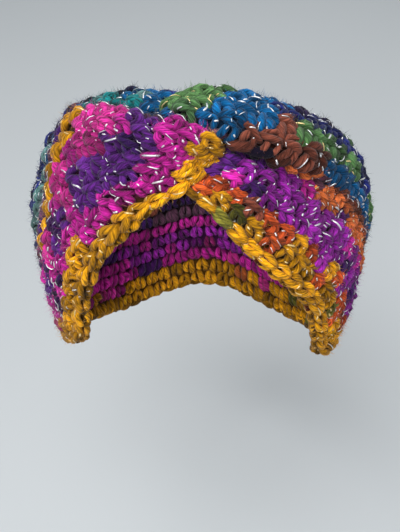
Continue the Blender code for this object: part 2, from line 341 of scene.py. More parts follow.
# %% Chart of the dyed runs
SHADES = {
    "m": "C5880F",  # mustard
    "o": "D06A36",  # burnt orange
    "u": "BE4C22",  # orange red
    "r": "673528",  # rust brown
    "k": "B4287C",  # hot pink
    "g": "B01F86",  # magenta
    "q": "861E8C",  # red purple
    "p": "4D1B68",  # purple
    "x": "32134E",  # deep purple
    # The dark plum is a colour of the yarn, set darker than the yarn so that where rows 7 and 8 end in it,
    # in the hollow at the twist, it also paints the shade there.
    "d": "180E26",  # dark plum
    "b": "044C7A",  # bright blue
    "t": "0E6264",  # teal
    "e": "486C3E",  # leaf green
    "l": "5F5F22",  # olive
    "y": "527370",  # grey green
    "v": "5C374C",  # mauve brown
    "n": "1B225C",  # navy
}
RowColours = namedtuple("RowColours", "letters ends")
CHART = {
    13: RowColours("nbtndnbe", (1.8, 2.7, 3.6, 5, 8, 19.3, 19.9)),
    12: RowColours("nbtdnbe", (1.8, 2.7, 3.6, 4.4, 19.3, 19.9)),
    11: RowColours("btvntnbe", (2.7, 3.6, 4.1, 8, 13, 19.3, 20.0)),
    10: RowColours("btvbytenerbe", (2.7, 3.6, 4.1, 4.8, 8, 12, 16.7, 17.2, 18.8, 19.3, 20.3)),
    9: RowColours("btvbybrb", (2.4, 3.2, 4.2, 4.6, 8.5, 18.2, 19.8)),
    # Rows 8 and 7 end in dark plum in the hollow at the twist, which partly paints the shade there.
    8: RowColours("vbvrord", (4.1, 4.5, 9, 17.3, 18.7, 19.3)),
    7: RowColours("mgpkmvod", (0.5, 1.5, 2.6, 3.35, 4.0, 11.5, 18.8)),
    6: RowColours("mgpkmgqoqp", (0.75, 1.6, 2.4, 3.75, 6.1, 12, 15.6, 17.6, 19)),
    5: RowColours("mgpkpqp", (1.0, 1.7, 3.4, 6.0, 10, 19.5)),
    4: RowColours("mgpgqp", (1.3, 2.3, 5.8, 10, 19.6)),
    3: RowColours("mgpgu", (1.6, 2.9, 4.6, 12)),
    2: RowColours("mgm", (2.0, 4.7)),
    1: RowColours("m", ()),
}


def linear(hex_colour):
    """Linear red, green and blue of an sRGB hex colour, by the two branches of the sRGB standard."""
    parts = [int(hex_colour[i:i + 2], 16) / 255 for i in (0, 2, 4)]
    return np.array([part / 12.92 if part <= 0.04045 else ((part + 0.055) / 1.055) ** 2.4 for part in parts])


def chart_colours(row, station):
    """The yarn's colour in a row, numbered from 1, at stations along it."""
    letters, ends = CHART[row]
    shades = np.array([linear(SHADES[letter]) for letter in letters])
    return shades[np.searchsorted(ends, station)]


run_count = sum(len(row_colours.letters) for row_colours in CHART.values())
print("shades:", len(SHADES), "rows:", len(CHART), "colour runs:", run_count)

# %% [markdown]
# ## Stray stitches and uneven dye
#
# On the real band two runs of dye meet raggedly, neighbouring rows trade a stitch now and then, and no
# two stitches took the dye alike. More runs in the chart could show that, but the chart would be long and
# would still look planned. A few random rules do it instead: each stitch reads the chart a little off its
# place, a share of them takes a stray colour, and each gets its own strength of dye. The same seed gives
# the same stitches each run.

# %% Colours of single stitches
# Stray colours in a row on the left half of the strip and on the right half, and their share there.
Flecks = namedtuple("Flecks", "left left_share right right_share")
FLECKS = {
    1: Flecks("l", 0.02, "lu", 0.10),
    2: Flecks("gok", 0.22, "uol", 0.50),
    3: Flecks("kx", 0.20, "qmqr", 0.30),
    4: Flecks("gkx", 0.24, "gqux", 0.28),
    5: Flecks("gxx", 0.26, "gqgx", 0.28),
    6: Flecks("g", 0.12, "gpo", 0.20),
    7: Flecks("x", 0.12, "or", 0.20),
    8: Flecks("vx", 0.20, "rv", 0.20),
    9: Flecks("yv", 0.20, "eb", 0.10),
    10: Flecks("bn", 0.20, "eb", 0.18),
    11: Flecks("ny", 0.20, "eb", 0.12),
    12: Flecks("nd", 0.20, "de", 0.12),
    13: Flecks("dn", 0.30, "de", 0.15),
}
FLECK_STRENGTH = 0.96
RIGHT_HALF_FROM = 12
COLOUR_DRIFT = 0.14
SHADE_SPREAD = 0.34
PALEST_PLACE = 1.0

# The stations between which a row is the raised chain that the left side is folded along. Neither it nor the
# mustard end of the strip, which lies before a station of its own, has stray colours.
RIDGE = {7: (3.35, 4.0), 6: (3.75, 6.1)}
MUSTARD_END = 1.9


def on_ridge(row, stations):
    """Whether each station of a row lies on the raised chain."""
    start, end = RIDGE.get(row, (0, 0))
    return (stations > start) & (stations < end)


def uneven_dye(shape, spread):
    """Factors by which the dye took more or less strongly. Few places stay much paler than the rest."""
    return np.exp(spread * np.minimum(dice.normal(0, 1, shape), PALEST_PLACE))


def yarn_colours(row, stations):
    """Colours for the stitches of a row: the chart's, unevenly dyed, with some stray ones."""
    count = len(stations)
    colours = chart_colours(row, stations + dice.normal(0, COLOUR_DRIFT, count))
    plain = on_ridge(row, stations) | (stations < MUSTARD_END)
    chance = np.where(plain, 1.0, dice.random(count))
    flecks = FLECKS[row]
    for here, letters, share in (
        (stations < RIGHT_HALF_FROM, flecks.left, flecks.left_share),
        (stations >= RIGHT_HALF_FROM, flecks.right, flecks.right_share),
    ):
        strays = np.array([linear(SHADES[letter]) for letter in letters])
        others = strays[dice.integers(0, len(letters), count)]
        mixed = (1 - FLECK_STRENGTH) * colours + FLECK_STRENGTH * others
        colours = np.where((here & (chance < share))[:, None], mixed, colours)
    return colours * uneven_dye((count, 1), SHADE_SPREAD)


print("rows with part of the raised chain:", sorted(RIDGE))

# %% [markdown]
# ## The stitches of a row
#
# A crocheted row is the same stitch again and again. The stitches could be set at equal steps of the
# grid, but the grid's steps are short at the front and long at the back. So a row is measured in
# millimetres first and then shared out evenly. Each stitch also gets a small turn and lift of its own,
# because hands never pull two loops equally tight.

# %% Stitches along a row
Stitches = namedtuple("Stitches", "row stations pitch turns lifts colours")
STITCH_PITCH = 9.4 * MM
LEAST_PITCH_IN_STATIONS = 0.02
TURN_SPREAD = 0.20
LIFT_SPREAD = 0.16


def row_stitches(row, shift, chosen=None):
    """The stitches of a row: their stations, their pitch in stations, and what sets each one apart."""
    column = int((row - 0.5) * POINTS_PER_ROW)
    length = walked[-1, column]
    count = int(round(length / STITCH_PITCH))
    middles = (np.arange(count) + 0.5 + shift) * length / count
    middles = middles[middles < length]
    half = length / count / 2
    grid_marks = np.arange(len(walked)) / SECTIONS_PER_STATION
    stations, ahead, behind = [
        np.interp(middles + offset, walked[:, column], grid_marks) for offset in (0.0, half, -half)
    ]
    pitch = np.maximum(ahead - behind, LEAST_PITCH_IN_STATIONS)
    if chosen is not None:
        kept = chosen(stations)
        stations = stations[kept]
        pitch = pitch[kept]
    count = len(stations)
    turns = dice.normal(0, TURN_SPREAD, count)
    lifts = np.exp(dice.normal(0, LIFT_SPREAD, count))
    return Stitches(row, stations, pitch, turns, lifts, yarn_colours(row, stations))


print("stitches in row 7:", len(row_stitches(7, 0.0).stations))

# %% [markdown]
# ## One strand of yarn
#
# Crochet is all loops. Each loop's visible part is a short fat strand that dives into the fabric at both
# ends. The whole yarn could be drawn as one endless curve, but most of it is hidden, so only the visible
# strands are laid. One shape serves for many: a few points in the fabric's own terms, which are how far
# along in stitches, how far across in rows, and how high in millimetres. Each point is shaken a little,
# put on the fabric and joined to the next by a smooth curve.

# %% Strands on the fabric
Strands = namedtuple("Strands", "paths radii ups colours")
FULL_ROW_HEIGHT = 9 * MM
THINNEST_SQUEEZE = 0.78
THICKEST_SQUEEZE = 1.12
END_THICKNESS = 0.5
ARCH_EXPONENT = 0.6
WOBBLE = 0.05
GIRTH_SPREAD = 0.09
LUMP_SPREAD = 0.05
STRAND_SHADE_SPREAD = 0.18


def arch(rings):
    """0 at both ends of a strand and 1 in its middle, with a broad top."""
    return np.sin(math.pi * np.linspace(0, 1, rings)) ** ARCH_EXPONENT


def strand_places(stitches, shape, side, wobble):
    """Points of one strand on each stitch, and the fabric's outward directions there."""
    count = len(stitches.stations)
    points = np.repeat(np.array(shape, dtype=float)[None], count, axis=0)
    along = points[:, :, 0]
    across = points[:, :, 1] - 0.5
    cosine = np.cos(stitches.turns)[:, None]
    sine = np.sin(stitches.turns)[:, None]
    along, across = along * cosine - across * sine, along * sine + across * cosine
    along = along + dice.normal(0, wobble, along.shape)
    across = across + dice.normal(0, wobble, along.shape)
    height = points[:, :, 2] * stitches.lifts[:, None] * (1 + dice.normal(0, wobble, (count, 1)))
    station = np.clip(stitches.stations[:, None] + along * stitches.pitch[:, None], 0, last_station)
    row_place = stitches.row - 0.5 + across
    normals = read_grid(outward, station, row_place)
    return read_grid(fabric, station, row_place) + normals * (side * MM * height)[..., None], normals


def lay_strands(stitches, shape, radius, rings, side=1, wobble=WOBBLE):
    """Strands of one shape, one on each stitch. side is 1 outside and -1 on the head side."""
    places, normals = strand_places(stitches, shape, side, wobble)
    count = len(stitches.stations)
    marks = np.linspace(0, 1, len(shape))
    where = np.linspace(0, 1, rings)
    paths = smooth_curve(places.transpose(1, 0, 2), marks, where).transpose(1, 0, 2)
    ups = unit(smooth_curve(normals.transpose(1, 0, 2), marks, where).transpose(1, 0, 2)) * side
    squeeze = read_grid(row_height, stitches.stations, np.full(count, stitches.row - 0.5)) / FULL_ROW_HEIGHT
    squeeze = np.clip(squeeze, THINNEST_SQUEEZE, THICKEST_SQUEEZE)
    swell = END_THICKNESS + (1 - END_THICKNESS) * arch(rings)
    girth = 1 + dice.normal(0, GIRTH_SPREAD, (count, 1)) + dice.normal(0, LUMP_SPREAD, (count, rings))
    shade = uneven_dye((count, 1), STRAND_SHADE_SPREAD)
    return Strands(paths, radius * squeeze[:, None] * swell[None] * girth, ups, stitches.colours * shade)


print("thickness along a strand:", np.round(END_THICKNESS + (1 - END_THICKNESS) * arch(8), 2).tolist())

# %% [markdown]
# ## A mesh that carries the yarn's colour
#
# The dye is in the yarn, so the colour has to go wherever a strand goes. One material for each colour
# would cut the rows into many pieces. Here each point of the mesh holds its own colour, and one material
# reads it. Each point also holds where it would be on a straight, untwisted yarn, and the fibres in the
# material follow that.
#
# Thousands of strands are too many for Blender's modelling tools, one by one. Their points and faces are
# worked out as big arrays, so a row of some hundred strands takes a few milliseconds.

# %% Yarn mesh
class YarnMesh:
    """Points, faces and per-point values of many strands, gathered before they become one mesh."""

    def __init__(self):
        self.places = []
        self.faces = []
        self.colours = []
        self.straight = []
        self.count = 0

    def add(self, places, faces, colours, straight):
        """Takes in points with their faces, colours and places on the straight yarn."""
        self.places.append(places.reshape(-1, 3))
        self.faces.append(faces.reshape(-1, 3) + self.count)
        self.colours.append(colours.reshape(-1, 3))
        self.straight.append(straight.reshape(-1, 3))
        self.count += self.places[-1].shape[0]

    def make(self, name, material):
        """One mesh object of all that was taken in."""
        places = np.concatenate(self.places)
        faces = np.concatenate(self.faces)
        colours = np.concatenate(self.colours)
        mesh = bpy.data.meshes.new(name)
        mesh.vertices.add(len(places))
        mesh.vertices.foreach_set("co", places.astype(np.float32).ravel())
        mesh.loops.add(3 * len(faces))
        mesh.loops.foreach_set("vertex_index", faces.astype(np.int32).ravel())
        mesh.polygons.add(len(faces))
        mesh.polygons.foreach_set("loop_start", np.arange(0, 3 * len(faces), 3, dtype=np.int32))
        mesh.update(calc_edges=True)
        mesh.shade_smooth()
        paint = mesh.color_attributes.new("yarn_colour", "FLOAT_COLOR", "POINT")
        rgba = np.concatenate([colours, np.ones((len(colours), 1))], axis=1).astype(np.float32)
        paint.data.foreach_set("color", rgba.ravel())
        spun = mesh.attributes.new("straight_yarn", "FLOAT_VECTOR", "POINT")
        spun.data.foreach_set("vector", np.concatenate(self.straight).astype(np.float32).ravel())
        mesh.materials.append(material)
        item = bpy.data.objects.new(name, mesh)
        bpy.context.collection.objects.link(item)
        print(f"{name}: {len(faces)} triangles")
        return item


print("a yarn mesh gathers:", ", ".join(vars(YarnMesh())))

# %% Faces of a tube
def tube_faces(rings, sides):
    """Triangles between rings of points that follow one another. Each ring has a point for each side."""
    pattern = []
    for ring_index in range(rings - 1):
        for k in range(sides):
            a = ring_index * sides + k
            b = ring_index * sides + (k + 1) % sides
            pattern.append((a, b, a + sides))
            pattern.append((b, b + sides, a + sides))
    return pattern


def repeat_faces(pattern, count, points_each):
    """The same triangles on each of many alike shapes, whose points follow one another."""
    return np.array(pattern)[None] + (np.arange(count) * points_each)[:, None, None]


print("triangles round a strand of 8 rings and 8 sides:", len(tube_faces(8, 8)))

# %% [markdown]
# ## Round skins
#
# A strand of yarn is round and soft, and lies in its neighbours' shade wherever it dives. A curve with a
# bevel would give the round skin, but not the shade or the winding of the fibres. So rings of points are
# set round each path here, with a point that closes each end, and shade is painted into the colour: it is
# darker towards the strand's ends, where it dives, and on its underside, away from the light.

# %% Round skins on strands
YARN_TURN_MM = 14
YARN_SAMPLE_MM = 97
PLY_SHADING = 0.22
# How dark the painted shade makes a strand's buried ends and its underside.
DARKEST_END = 0.25
DARKEST_UNDERSIDE = 0.40


def strand_faces(rings, sides):
    """Triangles of a closed strand, whose two end points come after its rings."""
    pattern = tube_faces(rings, sides)
    first_end = rings * sides
    last = (rings - 1) * sides
    for k in range(sides):
        pattern.append((first_end, (k + 1) % sides, k))
        pattern.append((first_end + 1, last + k, last + (k + 1) % sides))
    return pattern


def straight_places(paths, radii, turn):
    """Where the skin's points would be on a straight, untwisted yarn, in millimetres."""
    count = len(paths)
    steps = np.linalg.norm(np.diff(paths, axis=1), axis=-1)
    run = np.concatenate([np.zeros((count, 1)), np.cumsum(steps, axis=1)], axis=1) / MM
    wind = turn[None, None] + 2 * math.pi / YARN_TURN_MM * run[:, :, None]
    start = YARN_SAMPLE_MM * dice.random((count, 1, 1))
    girth = radii[:, :, None] / MM
    straight = np.stack(
        [girth * np.cos(wind), girth * np.sin(wind), np.broadcast_to(run[:, :, None] + start, wind.shape)],
        axis=-1,
    )
    end_run = np.stack([run[:, 0], run[:, -1]], axis=1) + start[:, :, 0]
    straight_ends = np.stack([np.zeros_like(end_run), np.zeros_like(end_run), end_run], axis=-1)
    return np.concatenate([straight.reshape(count, -1, 3), straight_ends], axis=1)


def depth_shade(rings, turn):
    """Painted shade for each point of a strand: darker towards its ends, where it lies deep among its
    neighbours, and on its underside.
    """
    along = DARKEST_END + (1 - DARKEST_END) * arch(rings)
    around = DARKEST_UNDERSIDE + (1 - DARKEST_UNDERSIDE) * (0.5 + 0.5 * np.cos(turn))
    shade = (along[:, None] * around[None]).ravel()
    return np.concatenate([shade, [DARKEST_END, DARKEST_END]])[None, :, None]


def add_strands(bundle, strands, sides):
    """Takes strands into a yarn mesh, each with a closed round skin."""
    paths, radii, ups, colours = strands
    count, rings, _ = paths.shape
    if count == 0:
        return
    tangents = unit(np.gradient(paths, axis=1))
    sideways = unit(np.cross(tangents, ups))
    upward = np.cross(sideways, tangents)
    turn = 2 * math.pi * np.arange(sides) / sides
    ring = (
        np.cos(turn)[None, None, :, None] * upward[:, :, None]
        + np.sin(turn)[None, None, :, None] * sideways[:, :, None]
    )
    skin = paths[:, :, None] + radii[:, :, None, None] * ring
    ends = np.stack([paths[:, 0], paths[:, -1]], axis=1)
    places = np.concatenate([skin.reshape(count, -1, 3), ends], axis=1)
    straight = straight_places(paths, radii, turn)
    # Painted shade, darker at the ends and underside, times a random tone for each point of the plies.
    shade = depth_shade(rings, turn) * (1 + dice.normal(0, PLY_SHADING, (count, places.shape[1], 1)))
    faces = repeat_faces(strand_faces(rings, sides), count, places.shape[1])
    bundle.add(places, faces, np.clip(colours[:, None] * shade, 0, 1), straight)


print(f"the yarn turns once in {YARN_TURN_MM} mm")

# %% [markdown]
# ## Wool yarn
#
# The yarn is thick, softly spun wool. Dyed wool is matt, and the short fibres that stand off it catch
# light at grazing angles, which is what sheen stands for. Fine dark and light streaks run along its
# fibres. A picture of yarn could be wrapped round each strand, but it would repeat. A noise that is
# stretched along the straight yarn winds round the strand with the fibres and never repeats. A single
# fibre is about 0.03 mm thick and can't show, so the streaks are drawn three quarters of a millimetre
# apart, as the eye groups them.

# %% One function that adds a node
def add_node(tree, kind, settings=None, links=None):
    """A new node with settings by name, sockets by name or number, and links from other nodes' outputs."""
    node = tree.nodes.new(kind)
    for name, value in (settings or {}).items():
        if isinstance(name, str) and hasattr(node, name):
            setattr(node, name, value)
        else:
            node.inputs[name].default_value = value
    for name, source in (links or {}).items():
        tree.links.new(source, node.inputs[name])
    return node


# %% Streaks along the fibres
FIBRE_STREAK_MM = 0.75
STREAK_STRETCH = 0.14
STREAK_DETAIL = 3.0
STREAK_GRAIN = 0.6


def fibre_streaks(tree):
    """A noise that is drawn out along the straight yarn, as long streaks."""
    spun = add_node(tree, "ShaderNodeAttribute", {"attribute_name": "straight_yarn"})
    stretched = add_node(
        tree,
        "ShaderNodeVectorMath",
        {"operation": "MULTIPLY", 1: (1.0, 1.0, STREAK_STRETCH)},
        {0: spun.outputs["Vector"]},
    )
    return add_node(
        tree,
        "ShaderNodeTexNoise",
        {"Scale": 1 / FIBRE_STREAK_MM, "Detail": STREAK_DETAIL, "Roughness": STREAK_GRAIN},
        {"Vector": stretched.outputs[0]},
    )


print(f"streaks {FIBRE_STREAK_MM} mm wide and {FIBRE_STREAK_MM / STREAK_STRETCH:.1f} mm long")

# %% Wool material
STREAK_NOISE_SPAN = (0.37, 0.63)
STREAK_SHADES = (0.38, 1.62)
STREAK_RELIEF = 0.8
STREAK_DEPTH = 0.7 * MM
WOOL_ROUGHNESS = 0.85
WOOL_SPECULAR = 0.12
WOOL_SHEEN = 0.12
WOOL_SHEEN_ROUGHNESS = 0.45
DEEP_WOOL_LIGHT = 0.14


def wool_material(name, light=1.0):
    """Softly spun wool in the colour that its points carry, darkened where little light reaches it."""
    made = bpy.data.materials.new(name)
    made.use_nodes = True
    tree = made.node_tree
    shader = tree.nodes["Principled BSDF"]
    streaks = fibre_streaks(tree)
    lowest, highest = STREAK_NOISE_SPAN
    darkest, palest = STREAK_SHADES
    shade = add_node(
        tree,
        "ShaderNodeMapRange",
        {"From Min": lowest, "From Max": highest, "To Min": darkest * light, "To Max": palest * light},
        {"Value": streaks.outputs[0]},
    )
    paint = add_node(tree, "ShaderNodeAttribute", {"attribute_name": "yarn_colour"})
    shaded = add_node(
        tree,
        "ShaderNodeVectorMath",
        {"operation": "SCALE"},
        {0: paint.outputs["Color"], "Scale": shade.outputs["Result"]},
    )
    bump = add_node(
        tree,
        "ShaderNodeBump",
        {"Strength": STREAK_RELIEF, "Distance": STREAK_DEPTH},
        {"Height": streaks.outputs[0]},
    )
    tree.links.new(shaded.outputs[0], shader.inputs["Base Color"])
    tree.links.new(bump.outputs["Normal"], shader.inputs["Normal"])
    shader.inputs["Roughness"].default_value = WOOL_ROUGHNESS
    shader.inputs["Specular IOR Level"].default_value = WOOL_SPECULAR
    shader.inputs["Sheen Weight"].default_value = WOOL_SHEEN
    shader.inputs["Sheen Roughness"].default_value = WOOL_SHEEN_ROUGHNESS
    return made


spun_wool = wool_material("softly_spun_dyed_wool")
deep_wool = wool_material("wool_deep_between_stitches", DEEP_WOOL_LIGHT)
print("materials:", spun_wool.name, deep_wool.name)

# %% [markdown]
# ## The rows of stitches
#
# Each stitch of a puffy row shows two short fat legs, and over their tops the two loops that the next row
# is worked into. The loops lean along the row, as in a braid. One stitch could be modelled once and
# copied by an array, or a bump map could fake the relief. Copies look stamped, and a bump map leaves the
# outline smooth, so every strand is laid by itself. The head side shows the legs alone, flatter. The two
# outer rows end in a chain, whose links lie one behind the other, and the same links, lifted, make the
# raised chain at the left.

# %% Shapes of the strands: along in stitches, across in rows, height in millimetres
LEG_BEFORE = ((-0.02, -0.08, -0.2), (-0.24, 0.12, 2.2), (-0.30, 0.46, 2.6), (-0.12, 0.84, 0.4))
LEG_AFTER = ((0.10, -0.08, -0.2), (0.28, 0.12, 2.2), (0.20, 0.46, 2.7), (0.02, 0.84, 0.4))
LOOP_FRONT = ((-0.62, 0.60, -0.2), (-0.26, 0.64, 2.9), (0.22, 0.80, 3.4), (0.60, 0.98, 0.2))
LOOP_BACK = ((-0.60, 1.10, -0.2), (-0.22, 1.14, 2.5), (0.26, 1.00, 2.8), (0.60, 0.82, 0.0))
CHAIN_UP = ((-0.62, 0.46, 0.4), (-0.20, 0.60, 3.1), (0.30, 0.80, 2.8), (0.72, 0.58, 0.2))
CHAIN_DOWN = ((-0.62, 0.50, 0.4), (-0.18, 0.35, 2.9), (0.30, 0.14, 2.3), (0.72, 0.36, 0.2))
EDGE_UNDER = ((-0.60, 0.16, -0.6), (-0.15, 0.02, -1.4), (0.30, 0.04, -1.4), (0.66, 0.20, -0.6))


def flip(shape):
    """The same strand with its rows counted down instead of up, for the upper edge."""
    return tuple((along, 1 - across, height) for along, across, height in shape)


def lean(shape, direction):
    """The same strand leaning along the row one way or the other, for a direction of 1 or -1."""
    return tuple((direction * along, across, height) for along, across, height in shape)


print("highest point of a loop:", max(height for _, _, height in LOOP_FRONT), "mm over the fabric's middle")

# %% Ways to work a row
LEG_RADIUS = 2.25 * MM
LOOP_RADIUS = 2.1 * MM
CHAIN_RADIUS = 2.15 * MM
RIDGE_RADIUS = 2.1 * MM
RIDGE_LIFT = 1.35
CHAIN_WOBBLE = 0.035
HEAD_SIDE_RADIUS = 2.2 * MM
HEAD_SIDE_FLATNESS = 0.7
HEAD_SIDE_REACH = 1.1
LEG_SIDES = 8
LEG_RINGS = 8
LOOP_SIDES = 7
LOOP_RINGS = 8
HEAD_SIDE_SIDES = 6
HEAD_SIDE_RINGS = 6

# How many stitches an even row and an odd row are shifted by, so that a stitch sits over the gap below it.
ROW_SHIFTS = (0.5, 0.0)
HEAD_SIDE_SHIFTS = (0.75, 0.25)

outer_strands = []


def work(bundle, stitches, shapes, radius, rings, sides, wobble=WOBBLE):
    """Works strands of the given shapes on the outside of each stitch."""
    for shape in shapes:
        strands = lay_strands(stitches, shape, radius, rings, wobble=wobble)
        add_strands(bundle, strands, sides)
        outer_strands.append(strands)


def chain_row(bundle, row, shapes, chosen=None, radius=CHAIN_RADIUS, lift=1.0):
    """A row of links that lie straight behind one another."""
    stitches = row_stitches(row, 0.0, chosen)
    stitches = stitches._replace(turns=np.zeros(len(stitches.stations)), lifts=lift * stitches.lifts)
    work(bundle, stitches, shapes, radius, LEG_RINGS, LEG_SIDES, CHAIN_WOBBLE)


def puffy_row(bundle, row, chosen=None):
    """A row of puffy stitches, two legs and two loops each. Odd and even rows' legs lean opposite ways."""
    stitches = row_stitches(row, ROW_SHIFTS[row % 2], chosen)
    direction = 1 if row % 2 else -1
    legs = (lean(LEG_BEFORE, direction), lean(LEG_AFTER, direction))
    work(bundle, stitches, legs, LEG_RADIUS, LEG_RINGS, LEG_SIDES)
    work(bundle, stitches, (LOOP_FRONT, LOOP_BACK), LOOP_RADIUS, LOOP_RINGS, LOOP_SIDES)


def head_side_of_row(bundle, row):
    """The head side of a row: its legs alone, flatter and a little longer."""
    stitches = row_stitches(row, HEAD_SIDE_SHIFTS[row % 2])
    for shape in (LEG_BEFORE, LEG_AFTER):
        flat = tuple(
            (along, HEAD_SIDE_REACH * across, HEAD_SIDE_FLATNESS * height) for along, across, height in shape
        )
        strands = lay_strands(stitches, flat, HEAD_SIDE_RADIUS, HEAD_SIDE_RINGS, side=-1)
        add_strands(bundle, strands, HEAD_SIDE_SIDES)


print("leg", 2 * LEG_RADIUS / MM, "mm thick, loop", 2 * LOOP_RADIUS / MM, "mm")

# %% All the rows, from the lower edge up
for row in range(1, ROWS_OF_CROCHET + 1):
    bundle = YarnMesh()
    if row == 1:
        chain_row(bundle, row, (CHAIN_UP, CHAIN_DOWN, EDGE_UNDER))
    elif row == ROWS_OF_CROCHET:
        chain_row(bundle, row, (flip(CHAIN_UP), flip(CHAIN_DOWN), flip(EDGE_UNDER)))
    else:
        puffy_row(bundle, row, chosen=lambda stations: ~on_ridge(row, stations))
    if row in RIDGE:
        links = (CHAIN_UP, CHAIN_DOWN)
        chain_row(bundle, row, links, lambda stations: on_ridge(row, stations), RIDGE_RADIUS, RIDGE_LIFT)
    head_side_of_row(bundle, row)
    piece = bundle.make(f"crochet_row_{row:02d}", spun_wool)
    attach(piece, "root")
    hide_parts("band")

# %% [markdown]
# ## The ground of the fabric
#
# Between the stitches the eye looks down into dark wool, at the hidden parts of the loops. Modelling
# those would take as many strands again, for something that is hardly seen. One thin closed sheet in the
# middle of the fabric stands for them, so that no light comes through. It is darker than the stitches,
# because the yarn there is always in shade.

# %% Ground sheet
GROUND_THICKNESS = 2.0 * MM
GROUND_RIM = 0.35
GROUND_EVERY_SECTION = 2
GROUND_EVERY_POINT = 4


def ground_faces(count, width):
    """Triangles of a closed slab with an upper and a lower grid of count by width points."""
    index = np.arange(count * width).reshape(count, width)
    under = index + count * width
    triangles = []

    def sew(a, b, c, d):
        triangles.append(np.stack([a.ravel(), c.ravel(), b.ravel()], axis=1))
        triangles.append(np.stack([a.ravel(), d.ravel(), c.ravel()], axis=1))

    sew(index[:-1, :-1], index[1:, :-1], index[1:, 1:], index[:-1, 1:])
    sew(under[:-1, :-1], under[:-1, 1:], under[1:, 1:], under[1:, :-1])
    sew(index[:-1, 0], under[:-1, 0], under[1:, 0], index[1:, 0])
    sew(index[:-1, -1], index[1:, -1], under[1:, -1], under[:-1, -1])
    sew(index[0, :-1], index[0, 1:], under[0, 1:], under[0, :-1])
    sew(index[-1, :-1], under[-1, :-1], under[-1, 1:], index[-1, 1:])
    return np.concatenate(triangles)


def ground_sheet():
    """The closed sheet between the two faces of the crochet."""
    stations = section_marks[::GROUND_EVERY_SECTION]
    rows = np.linspace(GROUND_RIM, ROWS_OF_CROCHET - GROUND_RIM, len(row_marks[::GROUND_EVERY_POINT]))
    station_grid, row_grid = np.meshgrid(stations, rows, indexing="ij")
    middle = read_grid(fabric, station_grid, row_grid)
    rise = GROUND_THICKNESS / 2 * unit(read_grid(outward, station_grid, row_grid))
    colours = np.stack([
        chart_colours(min(int(row) + 1, ROWS_OF_CROCHET), stations) for row in rows
    ], axis=1)
    flat_place = np.stack([row_grid, np.zeros_like(row_grid), station_grid], axis=-1)
    bundle = YarnMesh()
    bundle.add(
        np.stack([middle + rise, middle - rise]),
        ground_faces(*station_grid.shape),
        np.stack([colours, colours]),
        np.stack([flat_place, flat_place]),
    )
    return bundle.make("crochet_ground", deep_wool)


ground = ground_sheet()
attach(ground, "root")
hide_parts("band")

# %% [markdown]
# ## The metallic film
#
# A flat metallised film, about a millimetre wide, is wound round the wool. It shows for a few millimetres
# at a time on top of a loop, as a bright dash, and then goes under. Bright specks in the wool's material
# could stand for it, but real film lies on the yarn and winds round it. So each dash is a shallow ridge
# of its own.
#
# The film is polyester with a coat of aluminium, a smooth metal: bright where it mirrors a lamp, dark
# elsewhere. A clear lacquer over it scatters some light, which is why it isn't wholly metallic. Beside
# mustard yarn the lacquer is golden.

# %% Film material
FILM_METALLIC = 0.6
FILM_ROUGHNESS = 0.3


def film_material(name):
    """Metallised polyester film: a smooth metal whose colour is its lacquer's."""
    made = bpy.data.materials.new(name)
    made.use_nodes = True
    tree = made.node_tree
    shader = tree.nodes["Principled BSDF"]
    paint = add_node(tree, "ShaderNodeAttribute", {"attribute_name": "yarn_colour"})
    tree.links.new(paint.outputs["Color"], shader.inputs["Base Color"])
    shader.inputs["Metallic"].default_value = FILM_METALLIC
    shader.inputs["Roughness"].default_value = FILM_ROUGHNESS
    return made


film = film_material("metallised_polyester_film")
print("material:", film.name)

# %% Dashes of film
FILM_SHARE = 0.85
FILM_WIDTH = 0.9 * MM
FILM_WIDTH_SHARES = (0.45, 1.2)
FILM_LIFT = 0.25 * MM
FILM_RINGS = 7
FILM_CORNERS = 3
FILM_END_WIDTH = 0.55
# Where the dashes lie on a strand and how long they are, as shares of its length.
FILM_MIDDLES = (0.12, 0.88)
FILM_LIMITS = (0.02, 0.98)
FILM_LENGTHS = (0.03, 0.38)
# How far a dash lies off the strand's top, and how far it winds round, in radians.
FILM_OFF_TOP = 0.55
FILM_WINDING = (0.5, 1.3)
SILVER = linear("F4F4F6")
GOLD = linear("FFE3A0")
MUSTARD_LEAST_GREEN = 0.15
MUSTARD_MOST_BLUE = 0.12


def film_faces():
    """Triangles of one closed dash, which has a flat triangle at each end."""
    last = FILM_CORNERS * (FILM_RINGS - 1)
    return tube_faces(FILM_RINGS, FILM_CORNERS) + [(0, 2, 1), (last, last + 1, last + 2)]


